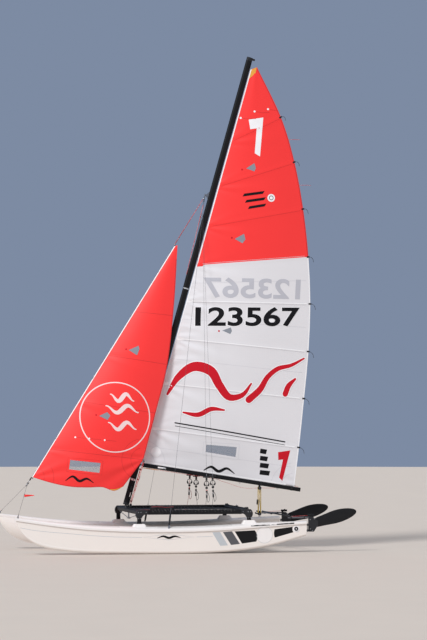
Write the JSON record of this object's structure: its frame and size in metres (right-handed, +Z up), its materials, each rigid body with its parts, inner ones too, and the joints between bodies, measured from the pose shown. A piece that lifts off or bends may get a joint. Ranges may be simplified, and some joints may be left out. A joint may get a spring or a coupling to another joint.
{
  "type": "two-hulled beach sailing dinghy with sails set",
  "caption": "Beach catamaran dinghy parked on its keels: asymmetric hulls, trampoline frame, turning mast, boom, battened mainsail, jib and kick-up rudders on linked tillers.",
  "frame": {"origin": "centre of the overall box, on the floor under the keels", "axes": "+X towards the bows, +Y to port, +Z up; the mast gives the longest extent and the beam the shortest"},
  "size_m": [5.9589, 2.4082, 8.6271],
  "materials": {
    "hull_gelcoat": "gloss white gelcoat, slightly chalked",
    "black_anodised": "black anodised, satin",
    "black_casting": "black powder-coated casting",
    "stainless": "stainless steel, dulled",
    "rudder_plastic": "dark moulded plastic, matt",
    "bare_aluminium": "dull aluminium tube",
    "block_plastic": "black block cheeks",
    "trampoline_mesh": "black coated mesh",
    "mainsail_cloth": "white and red laminated sailcloth",
    "jib_cloth": "red sailcloth",
    "yellow_rope": "pale yellow braid"
  },
  "bodies": {
    "platform": {"hull_port": "hull_gelcoat", "deck_port": "hull_gelcoat", "pylon_front_port": "black_anodised", "pylon_rear_port": "black_anodised", "corner_casting_front_port": "black_casting", "corner_casting_rear_port": "black_casting", "side_rail_port": "black_anodised", "shroud_port": "stainless", "shroud_adjuster_port": "black_casting", "chainplate_port": "stainless", "bow_tang_port": "stainless", "bridle_port": "stainless", "gudgeon_port": "stainless", "hull_starboard": "hull_gelcoat", "deck_starboard": "hull_gelcoat", "pylon_front_starboard": "black_anodised", "pylon_rear_starboard": "black_anodised", "corner_casting_front_starboard": "black_casting", "corner_casting_rear_starboard": "black_casting", "side_rail_starboard": "black_anodised", "shroud_starboard": "stainless", "shroud_adjuster_starboard": "black_casting", "chainplate_starboard": "stainless", "bow_tang_starboard": "stainless", "bridle_starboard": "stainless", "gudgeon_starboard": "stainless", "crossbeam_front": "black_anodised", "crossbeam_rear": "black_anodised", "trampoline": "trampoline_mesh", "gear_bag": "trampoline_mesh", "dolphin_striker": "stainless", "mast_step": "black_casting", "hounds_swivel": "stainless", "bridle_shackle": "stainless", "forestay": "stainless", "jib": "jib_cloth", "traveller_track": "black_anodised", "traveller_car": "black_casting"},
    "mast": {"mast": "black_anodised", "mast_base": "black_casting", "mast_head": "black_casting", "mast_tang": "stainless", "gooseneck": "stainless"},
    "boom": {"boom": "black_anodised", "boom_tongue": "black_casting", "mainsail": "mainsail_cloth", "boom_block": "block_plastic", "mainsheet_falls": "yellow_rope", "sheet_block": "block_plastic"},
    "rudder_head_port": {"rudder_head_port": "black_casting", "tiller_arm_port": "bare_aluminium"},
    "rudder_head_starboard": {"rudder_head_starboard": "black_casting", "tiller_arm_starboard": "bare_aluminium"},
    "rudder_blade_port": {"rudder_blade_port": "rudder_plastic"},
    "rudder_blade_starboard": {"rudder_blade_starboard": "rudder_plastic"},
    "tiller_crossbar": {"tiller_crossbar": "bare_aluminium", "tiller_extension": "bare_aluminium"}
  },
  "joints": [
    {"name": "mast_turn", "type": "hinge", "parent": "platform", "child": "mast", "pos_m": [0.87819, 0, 0.796], "axis": [-0.2513, 0, 0.9679], "range_deg": [-26, 26]},
    {"name": "boom_swing", "type": "hinge", "parent": "mast", "child": "boom", "pos_m": [0.61326, 0, 1.49223], "axis": [-0.2714, 0, 0.9625], "range_deg": [-30, 30]},
    {"name": "steer_port", "type": "hinge", "parent": "platform", "child": "rudder_head_port", "pos_m": [-2.11381, 1.06, 0.47], "axis": [0, 0, 1], "range_deg": [-35, 35]},
    {"name": "steer_starboard", "type": "hinge", "parent": "platform", "child": "rudder_head_starboard", "pos_m": [-2.11381, -1.06, 0.47], "axis": [0, 0, 1], "range_deg": [-35, 35]},
    {"name": "crossbar_pivot", "type": "hinge", "parent": "rudder_head_port", "child": "tiller_crossbar", "pos_m": [-1.78381, 1.06, 0.6233], "axis": [0, 0, 1], "range_deg": [-35, 35]},
    {"name": "rudder_kick_port", "type": "hinge", "parent": "rudder_head_port", "child": "rudder_blade_port", "pos_m": [-2.25181, 1.06, 0.505], "axis": [0, -1, 0], "range_deg": [0, 104]},
    {"name": "rudder_kick_starboard", "type": "hinge", "parent": "rudder_head_starboard", "child": "rudder_blade_starboard", "pos_m": [-2.25181, -1.06, 0.505], "axis": [0, -1, 0], "range_deg": [0, 104]}
  ],
  "couplings": [
    {"joint": "steer_starboard", "follows": "steer_port", "ratio": 1},
    {"joint": "crossbar_pivot", "follows": "steer_port", "ratio": -1}
  ]
}
